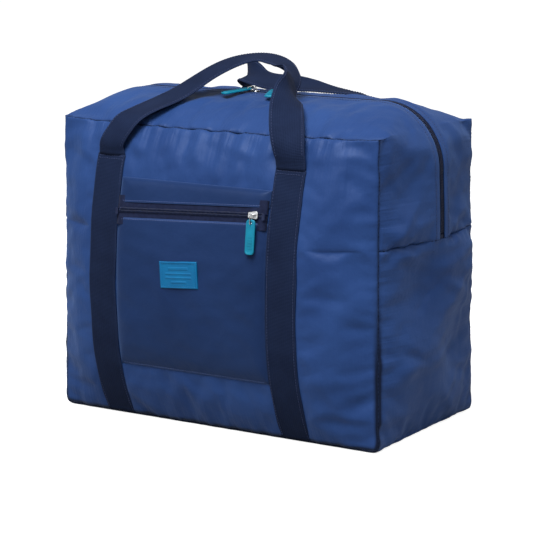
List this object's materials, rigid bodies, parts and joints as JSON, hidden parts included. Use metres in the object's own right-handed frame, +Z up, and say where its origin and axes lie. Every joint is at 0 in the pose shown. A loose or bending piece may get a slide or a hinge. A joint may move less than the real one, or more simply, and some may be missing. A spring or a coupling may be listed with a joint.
{
  "type": "foldable tote bag",
  "caption": "Soft boxy travel tote with a domed zip-up top, webbing straps and carrying handles, a zipped front pocket and a trolley sleeve.",
  "frame": {"origin": "centre of the base on the floor", "axes": "+X along the width, the front pocket faces -Y, +Z up"},
  "size_m": [0.4502, 0.3068, 0.4125],
  "materials": {
    "body_cloth": "coated nylon taffeta with a soft satin sheen",
    "webbing": "matt ribbed polypropylene webbing",
    "zip_tape": "matt woven tape",
    "zip_coil": "nylon coil",
    "zip_metal": "nickel plated",
    "pull_rubber": "soft moulded rubber, teal",
    "label_rubber": "embossed soft patch, blue"
  },
  "bodies": {
    "bag": {"back_panel": "body_cloth", "back_seam_binding": "zip_tape", "back_strap_left": "webbing", "back_strap_right": "webbing", "bottom_gusset": "body_cloth", "front_panel": "body_cloth", "front_seam_binding": "zip_tape", "front_strap_left": "webbing", "front_strap_right": "webbing", "label_patch": "label_rubber", "left_side_seam_binding": "zip_tape", "main_zip_coil_back": "zip_coil", "main_zip_coil_front": "zip_coil", "main_zip_end_stops": "zip_metal", "main_zip_tape_back": "zip_tape", "main_zip_tape_front": "zip_tape", "pocket_panel": "body_cloth", "pocket_top_band": "body_cloth", "pocket_zip_coil_lower": "zip_coil", "pocket_zip_coil_upper": "zip_coil", "pocket_zip_end_stops": "zip_metal", "pocket_zip_tape_lower": "zip_tape", "pocket_zip_tape_upper": "zip_tape", "right_side_seam_binding": "zip_tape", "trolley_sleeve": "body_cloth", "upper_gusset_back": "body_cloth", "upper_gusset_front": "body_cloth"},
    "front_handle": {"front_handle": "webbing"},
    "back_handle": {"back_handle": "webbing"},
    "left_slider": {"left_slider_body": "zip_metal"},
    "left_loop": {"left_slider_loop": "zip_metal"},
    "left_tab": {"left_pull_tab": "pull_rubber"},
    "right_slider": {"right_slider_body": "zip_metal"},
    "right_loop": {"right_slider_loop": "zip_metal"},
    "right_tab": {"right_pull_tab": "pull_rubber"},
    "pocket_slider": {"pocket_slider_body": "zip_metal"},
    "pocket_loop": {"pocket_slider_loop": "zip_metal"},
    "pocket_tab": {"pocket_pull_tab": "pull_rubber"}
  },
  "joints": [
    {"name": "front_handle_swing", "type": "hinge", "parent": "bag", "child": "front_handle", "pos_m": [-0.01, -0.12423, 0.3029], "axis": [1, 0, 0], "range_deg": [0, 130]},
    {"name": "back_handle_swing", "type": "hinge", "parent": "bag", "child": "back_handle", "pos_m": [-0.01, 0.12423, 0.3029], "axis": [-1, 0, 0], "range_deg": [0, 125]},
    {"name": "left_slider_travel", "type": "slide", "parent": "bag", "child": "left_slider", "axis": [1, 0, 0], "range_m": [-0.113, 0.004]},
    {"name": "right_slider_travel", "type": "slide", "parent": "bag", "child": "right_slider", "axis": [1, 0, 0], "range_m": [-0.004, 0.115]},
    {"name": "pocket_slider_travel", "type": "slide", "parent": "bag", "child": "pocket_slider", "axis": [0.9988, 0.0085, 0.0488], "range_m": [-0.16, 0.004]},
    {"name": "left_pull_lift", "type": "hinge", "parent": "left_slider", "child": "left_loop", "pos_m": [-0.017, 0, 0.3716], "axis": [-0.9205, 0.3907, 0], "range_deg": [0, 18]},
    {"name": "left_tab_swing", "type": "hinge", "parent": "left_loop", "child": "left_tab", "pos_m": [-0.02042, -0.00807, 0.37079], "axis": [-0.0361, -0.085, 0.9957], "range_deg": [-20, 20]},
    {"name": "right_pull_lift", "type": "hinge", "parent": "right_slider", "child": "right_loop", "pos_m": [0.013, 0, 0.3716], "axis": [-0.9397, -0.342, 0], "range_deg": [0, 18]},
    {"name": "right_tab_swing", "type": "hinge", "parent": "right_loop", "child": "right_tab", "pos_m": [0.016, -0.00823, 0.37079], "axis": [0.0316, -0.0868, 0.9957], "range_deg": [-20, 20]},
    {"name": "pocket_pull_lift", "type": "hinge", "parent": "pocket_slider", "child": "pocket_loop", "pos_m": [0.073, -0.14852, 0.25275], "axis": [-1, 0.0001, 0.0008], "range_deg": [0, 115]},
    {"name": "pocket_tab_swing", "type": "hinge", "parent": "pocket_loop", "child": "pocket_tab", "pos_m": [0.07299, -0.14934, 0.24399], "axis": [-0.0001, -0.9956, 0.0934], "range_deg": [-45, 45]}
  ]
}
